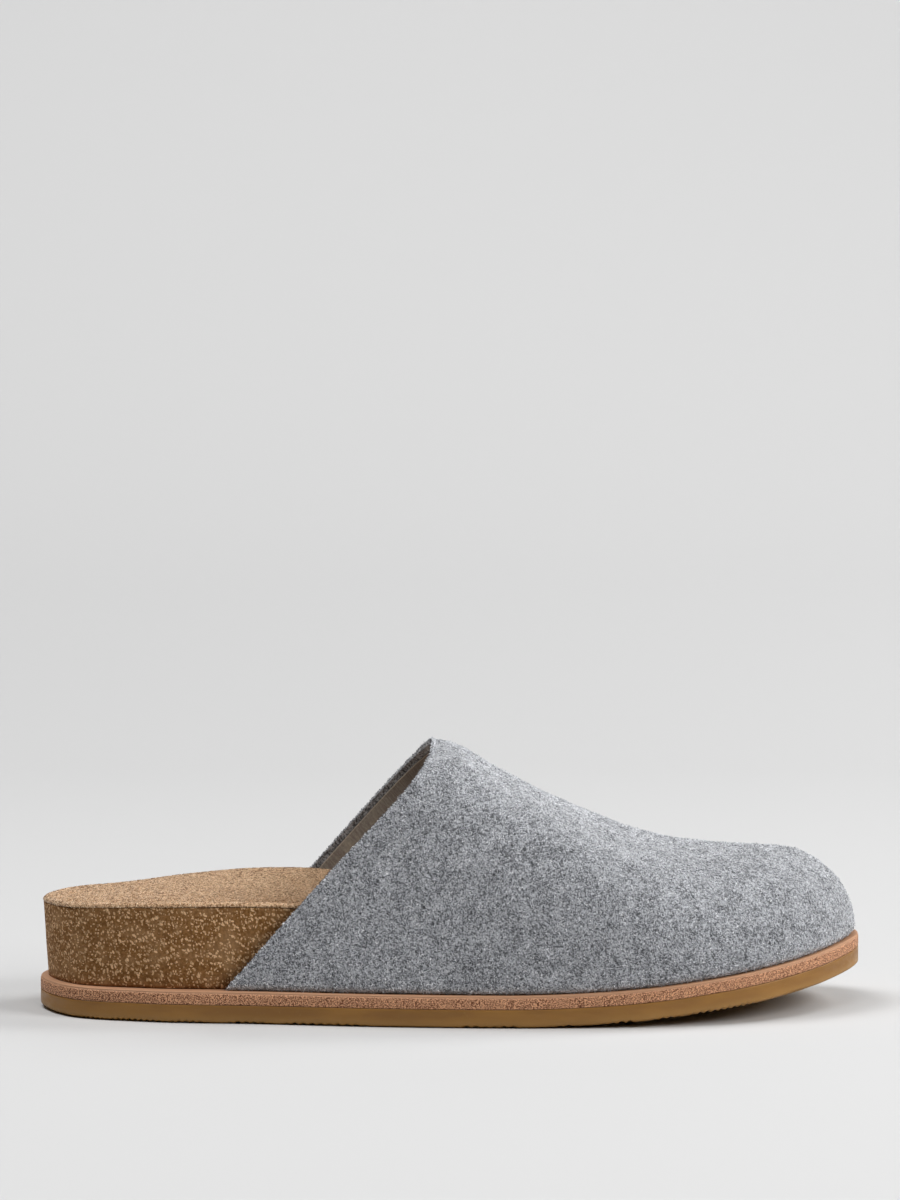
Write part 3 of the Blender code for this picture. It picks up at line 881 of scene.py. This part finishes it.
felt = {
    "stations": 176,
    "edgeRibs": (0.0, 0.0015, 0.004),  # closer together at the topline
    "firstRib": 0.009,
    "levels": 60,
    "thickness": 2.0,
    "lump": 0.22,  # soft unevenness of the felt
    "fineLump": 0.4,  # share of it in the smaller lumps
    "lumpSizes": (7.0, 2.6),
    "lumpFade": (0.5, 5.0),  # heights over the welt between which the lumps start
    "edgeRound": 0.35,
    "edgeShares": (0.12, 0.35, 0.65, 0.88),  # rows of the cut edge, from the outer to the inner face
    "edgeRun": 4,  # ribs that give the way back at the topline
    "tuck": 0.9,  # how far the foot of the felt turns in
    "tuckHeight": 1.7,
    "light": tone(184, 186, 191),
    "mid": tone(110, 112, 116),
    "dark": tone(44, 45, 48),
    "brightSize": (1.8, 0.45, 0.45),
    "brightTurns": [(0.2, 0.3, 0.0), (1.3, 1.0, 0.7), (0.5, 1.7, 1.4), (0.9, 2.4, 2.2), (1.6, 3.0, 0.4)],
    "deepSize": (1.7, 0.5, 0.5),
    "deepTurns": [(0.7, 0.6, 0.4), (0.1, 1.4, 1.1), (1.2, 2.1, 1.9), (0.4, 2.8, 0.2)],
    "streakDepth": 0.3,
    "mottleSize": 5.0,
    "strokes": {"Density": 1.45e6, "Length": 0.0015, "Width": 0.0003, "Root": 0.00002, "Lift": 0.06,
                "Tilt": 0.1},
    "strokeSeeds": (3, 4, 6),
    "strokeTones": [(0.0, tone(78, 80, 84)), (0.3, tone(150, 152, 156)), (0.6, tone(214, 216, 221)),
                    (1.0, tone(252, 252, 254))],
    "fuzz": {"Density": 1.05e6, "Length": 0.0019, "Width": 0.00017, "Root": -0.0001, "Lift": 0.8,
             "Tilt": 0.45, "Seed": 8},
    # partly the felt's pale fibres, partly a painted highlight for light shining through loose fibres
    "fuzzAndGlowTones": [(0.0, tone(160, 162, 167)), (0.5, tone(206, 208, 213)), (1.0, tone(244, 245, 248))],
    "strands": {"Density": 1.6e5, "Length": 0.0044, "Width": 0.00017, "Root": 0.0001, "Arch": 0.0006,
                "Tip": 0.0002, "Tilt": 0.05, "Bends": 3, "Seed": 12},
    "strandRib": 4,  # last rib at the topline without strands
    "longStrands": {"Density": 1.3e5, "Length": 0.0075, "Width": 0.0002, "Root": 0.0002, "Arch": 0.0009,
                    "Tip": 0.0003, "Tilt": 0.05, "Bends": 6, "Seed": 13},
    "lowBackRib": 48,  # long strands grow as far forward as this rib
    "lowBackLevels": (2, 24),  # and between these levels of the outer side
    "rimFuzz": {"Density": 1.1e7, "Length": 0.0013, "Width": 0.0003, "Root": 0.0, "Lift": 0.12,
                "Tilt": 0.25, "Seed": 15},
    "rimRib": 2,  # front of the strip along the topline
    "edgeFuzz": {"Density": 5.0e6, "Length": 0.0013, "Width": 0.0002, "Root": -0.0001, "Lift": 0.4,
                 "Tilt": 0.4, "Seed": 16},
    # painted shade: darker tones for the fibres on the felt's cut edge
    "edgeShadeTones": [(0.0, tone(30, 31, 34)), (0.6, tone(92, 93, 97)), (1.0, tone(190, 192, 197))],
}


def feltFinish():
    finish, tree, shader = newFinish("wool_felt", Roughness=1.0, Specular_IOR_Level=0.1, Sheen_Weight=0.5,
                                     Sheen_Roughness=0.6)
    bright = streaks(tree, felt["brightSize"], felt["brightTurns"])
    deep = streaks(tree, felt["deepSize"], felt["deepTurns"])
    mottle = noise(tree, felt["mottleSize"], detail=2.0)
    level = calc(tree, "SUBTRACT", bright, deep)
    level = calc(tree, "ADD", level, calc(tree, "MULTIPLY", mottle, 0.16))
    stops = [(0.0, felt["dark"]), (0.38, felt["mid"]), (0.85, felt["light"])]
    plug(tree, shader.inputs["Base Color"], ramp(tree, ranged(tree, level, -0.15, 0.33), stops))
    relief(tree, shader, bright, felt["streakDepth"])
    return finish


def woolFinish(name, tones):
    finish, tree, shader = newFinish(name, Roughness=0.9, Specular_IOR_Level=0.1, Sheen_Weight=0.08)
    patches = ranged(tree, noise(tree, felt["mottleSize"], detail=2.0), 0.3, 0.7, -0.11, 0.11)
    shade = calc(tree, "ADD", pointValue(tree, "shade"), patches)
    plug(tree, shader.inputs["Base Color"], ramp(tree, shade, tones))
    return finish


def makeFelt():
    along = np.concatenate([felt["edgeRibs"], np.linspace(felt["firstRib"], 1.0, felt["stations"])])
    outside = feltFace(along, felt["levels"])
    inside = moveIn(outside, felt["thickness"])
    onOuterHalf = np.arange(outside.shape[1]) <= felt["levels"]
    above = outside[..., 2] - np.where(onOuterHalf, outside[:, :1, 2], outside[:, -1:, 2])
    push = felt["lump"] * softNoise(outside, felt["lumpSizes"][0], 1)
    push = push + felt["fineLump"] * felt["lump"] * softNoise(outside, felt["lumpSizes"][1], 2)
    push = push * smoothStep(*felt["lumpFade"], above)
    push = push - felt["tuck"] * (1 - smoothStep(0.0, felt["tuckHeight"], above))
    normals = faceNormals(outside)
    normals[above < felt["tuckHeight"], 2] = 0.0
    outside = outside + normals * push[..., None]
    back = outside[0] - outside[felt["edgeRun"]]
    back /= np.linalg.norm(back, axis=1)[:, None]
    edge = []
    for share in felt["edgeShares"]:
        bulge = felt["edgeRound"] * (math.sin(math.pi * share) ** 0.5)
        edge.append(lerp(outside[0], inside[0], share) + back * bulge)
    edge = np.array(edge)
    rows = np.concatenate([outside[::-1], edge, inside])
    count, columns = rows.shape[:2]
    faces = sheetFaces(count, columns) + footFaces(count, columns, len(outside))
    made = makePiece("felt_upper", rows.reshape(-1, 3), faces)
    made.data.materials.append(feltFinish())
    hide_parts("upper")
    return made, outside, edge


def fibreGround(name, rows):
    # open sheet through rows of points, for fibres to grow on
    data = bpy.data.meshes.new(name)
    faces = [(a, d, c, b) for a, b, c, d in sheetFaces(*rows.shape[:2])]
    data.from_pydata((rows.reshape(-1, 3) * millimetre).tolist(), [], faces)
    return addObject(name, data)


def makeFuzz(outside, edge):
    # fibres on the outer face and the cut edge of the felt
    behind = felt["strandRib"]
    ground = fibreGround("felt_ground", outside[::-1])
    rim = fibreGround("rim_ground", outside[felt["rimRib"]::-1])
    cut = fibreGround("cut_ground", np.concatenate([outside[:1], edge]))
    middle = fibreGround("middle_ground", outside[:behind:-1])
    lowBackRows = outside[felt["lowBackRib"]:behind:-1, slice(*felt["lowBackLevels"])]
    lowBack = fibreGround("low_back_ground", lowBackRows)
    flat = woolFinish("wool_fibre", felt["strokeTones"])
    # loose fibres in lighter tones: partly pale fibres, partly a painted highlight for light shining
    # through them
    loose = woolFinish("loose_wool_and_glow", felt["fuzzAndGlowTones"])
    # painted shade: the cut edge's fibres take darker tones than the face's
    deep = woolFinish("cut_wool_painted_shade", felt["edgeShadeTones"])
    growths = [("felt_strokes_%d" % seed, ground, flat, dict(felt["strokes"], Seed=seed))
               for seed in felt["strokeSeeds"]]
    growths += [
        ("felt_fuzz", ground, loose, felt["fuzz"]),
        ("felt_strands", middle, loose, felt["strands"]),
        ("felt_long_strands", lowBack, loose, felt["longStrands"]),
        ("felt_rim_fuzz", rim, loose, felt["rimFuzz"]),
        ("felt_edge_fuzz", cut, deep, felt["edgeFuzz"]),
    ]
    made = []
    for name, under, finish, sizes in growths:
        fuzz = growFibres(name, under, finish, sizes)
        made.append(fuzz)
    for under in (ground, rim, cut, middle, lowBack):
        bpy.data.objects.remove(under)
    return made


# leather lining, set back from the topline

lining = {
    "setBack": 0.013,  # share of the way from the topline to the toe, about 3 mm
    "edgeWidth": 0.002,  # pale strip along its edge, as such a share
    "stations": 90,
    "levels": 40,
    "gap": 0.06,
    "tone": tone(184, 178, 169),
    "deepTone": tone(106, 99, 97),
    "paleTone": tone(198, 191, 174),
    "edgeTone": tone(222, 214, 202),
    "edgeShade": tone(190, 181, 168),
    "napSize": 0.5,
    "cloudSize": 9.0,
    "lineSize": (4.0, 2.0, 0.34),
    "lineTurn": (0.0, 0.88, 0.0),  # to the slant of the topline
    "lineDepth": 0.2,
    "shadeHeights": (50.0, 78.0),  # between which it darkens upward
    "edgeGrain": 0.4,
    "edgeDepth": 0.1,
}


def liningFinish():
    finish, tree, shader = newFinish("lining_leather", Roughness=0.7, Specular_IOR_Level=0.3)
    nap = noise(tree, lining["napSize"], detail=3.0)
    cloud = noise(tree, lining["cloudSize"], detail=2.0)
    lines = noise(tree, lining["lineSize"], lining["lineTurn"], detail=2.0)
    place = addNode(tree, "ShaderNodeSeparateXYZ", Vector=patternSpace(tree, 1.0))
    high = ranged(tree, place.outputs["Z"], *lining["shadeHeights"], 0.0, 0.6)
    colour = blendTones(tree, ranged(tree, nap, 0.35, 0.65, 0.0, 0.4), lining["tone"], lining["deepTone"])
    colour = blendTones(tree, ranged(tree, lines, 0.4, 0.6, 0.0, 0.45), colour, lining["deepTone"])
    colour = blendTones(tree, ranged(tree, cloud, 0.4, 0.65, 0.0, 0.4), colour, lining["paleTone"])
    colour = blendTones(tree, high, colour, lining["deepTone"])
    plug(tree, shader.inputs["Base Color"], colour)
    relief(tree, shader, lines, lining["lineDepth"])
    return finish


def liningEdgeFinish():
    finish, tree, shader = newFinish("lining_cut_edge", Roughness=0.8, Specular_IOR_Level=0.2)
    grain = noise(tree, lining["edgeGrain"], detail=2.0)
    colour = blendTones(tree, ranged(tree, grain, 0.35, 0.65), lining["edgeShade"], lining["edgeTone"])
    plug(tree, shader.inputs["Base Color"], colour)
    relief(tree, shader, grain, lining["edgeDepth"])
    return finish


def makeLining():
    edgeEnd = lining["setBack"] + lining["edgeWidth"]
    along = np.concatenate([[lining["setBack"]], np.linspace(edgeEnd, 1.0, lining["stations"])])
    face = feltFace(along, lining["levels"])
    outside = moveIn(face, felt["thickness"] + lining["gap"])
    inside = moveIn(face, last["wall"])
    rows = np.concatenate([outside[::-1], inside])
    count, columns = rows.shape[:2]
    faces = sheetFaces(count, columns) + footFaces(count, columns, len(outside))
    made = makePiece("leather_lining", rows.reshape(-1, 3), faces)
    made.data.materials.append(liningFinish())
    made.data.materials.append(liningEdgeFinish())
    for i in range(len(outside) * (columns - 1), (len(outside) + 1) * (columns - 1)):
        made.data.polygons[i].material_index = 1
        made.data.polygons[i].use_smooth = False
    return made


pieces = [makeRubber(), makeWelt(), makeCork()]
insole = makeInsole()
feltUpper, feltOutside, feltEdge = makeFelt()
pieces += [insole, feltUpper, makeLining()]
pieces.append(makeNap(insole))
pieces += makeFuzz(feltOutside, feltEdge)
for piece in pieces:
    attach(piece, "root")

# studio in metres: a pale floor that sweeps up behind the shoe, and softboxes

stage = {"width": 9.0, "front": -4.0, "bend": 1.4, "radius": 2.8, "height": 4.0, "steps": 24,
         "grey": (0.58, 0.58, 0.58, 1.0), "worldLight": 0.01}

# place, aim, size and power of each softbox
softboxes = {
    "right_front": ((1.77, -0.82, 1.22), (0.0, 0.0, 0.0), (0.9, 0.9), 32.7),
    "right_back": ((1.57, 0.73, 1.51), (0.0, 0.0, 0.0), (0.9, 1.1), 22.4),
    "right_top": ((1.8, 1.1, 2.0), (1.8, 1.1, 0.0), (1.0, 1.0), 9.0),
    "left_top": ((-0.92, 0.1, 2.05), (-0.45, 0.1, 0.0), (1.0, 1.0), 29.2),
    "front_top": ((0.0, -0.7, 2.0), (0.0, -0.7, 0.0), (1.0, 1.0), 10.5),
    "backdrop_wash": ((0.0, 1.6, 2.2), (0.0, 4.2, 1.0), (4.0, 1.5), 63.0),
}


def makeStage():
    profile = [(stage["front"], 0.0)]
    for angle in np.linspace(0.0, 0.5 * math.pi, stage["steps"] + 1):
        back = stage["bend"] + stage["radius"] * math.sin(angle)
        profile.append((back, stage["radius"] * (1 - math.cos(angle))))
    profile.append((profile[-1][0], stage["height"]))
    points = [(side * 0.5 * stage["width"], y, z) for y, z in profile for side in (-1, 1)]
    faces = [(2 * i, 2 * i + 1, 2 * i + 3, 2 * i + 2) for i in range(len(profile) - 1)]
    data = bpy.data.meshes.new("studio_floor")
    data.from_pydata(points, [], faces)
    data.polygons.foreach_set("use_smooth", [True] * len(data.polygons))
    finish = newFinish("pale_floor", Roughness=0.9, Specular_IOR_Level=0.2, Base_Color=stage["grey"])[0]
    data.materials.append(finish)
    floor = addObject("studio_floor", data)


def addSoftbox(name, place, aim, size, power):
    data = bpy.data.lights.new(name, "AREA")
    data.shape = "RECTANGLE"
    data.size, data.size_y = size
    data.energy = power
    lamp = addObject(name, data)
    lamp.location = place
    toward = np.array(aim) - np.array(place)
    pitch = math.atan2(math.hypot(toward[0], toward[1]), -toward[2])
    lamp.rotation_euler = (pitch, 0.0, math.atan2(-toward[0], toward[1]))


def addStudio():
    makeStage()
    world = bpy.data.worlds.new("studio")
    bpy.context.scene.world = world
    world.use_nodes = True
    backdrop = world.node_tree.nodes["Background"].inputs
    backdrop["Color"].default_value = (1.0, 1.0, 1.0, 1.0)
    backdrop["Strength"].default_value = stage["worldLight"]
    for name, softbox in softboxes.items():
        addSoftbox(name, *softbox)
    bpy.context.scene.view_settings.view_transform = "Standard"
    print("studio set with", len(softboxes), "softboxes")


# camera at the photo's angle; pixel values are in its 900 x 1200 frame

shot = {
    "aim": (-0.0002, 0.0, 0.035),
    "aimRow": 895.9,
    "elevation": 8.5,
    "distance": 1.8,
    "pixelsPerMetre": 3156.0,
    "frameHeight": 1200.0,
    "sensor": 36.0,
    "clip": (0.05, 50.0),
}


def addCamera():
    distance = shot["distance"]
    lens = distance * shot["pixelsPerMetre"]
    below = math.atan((shot["aimRow"] - 0.5 * shot["frameHeight"]) / lens)
    elevation = math.radians(shot["elevation"])
    data = bpy.data.cameras.new("camera")
    data.sensor_fit = "VERTICAL"
    data.sensor_height = shot["sensor"]
    data.lens = lens * math.cos(below) / shot["frameHeight"] * shot["sensor"]
    data.clip_start, data.clip_end = shot["clip"]
    camera = addObject("camera", data)
    x, y, z = shot["aim"]
    camera.location = (x, y - distance * math.cos(elevation), z + distance * math.sin(elevation))
    camera.rotation_euler = (0.5 * math.pi - (elevation - below), 0.0, 0.0)
    bpy.context.scene.camera = camera
    print("camera set")


addStudio()
addCamera()
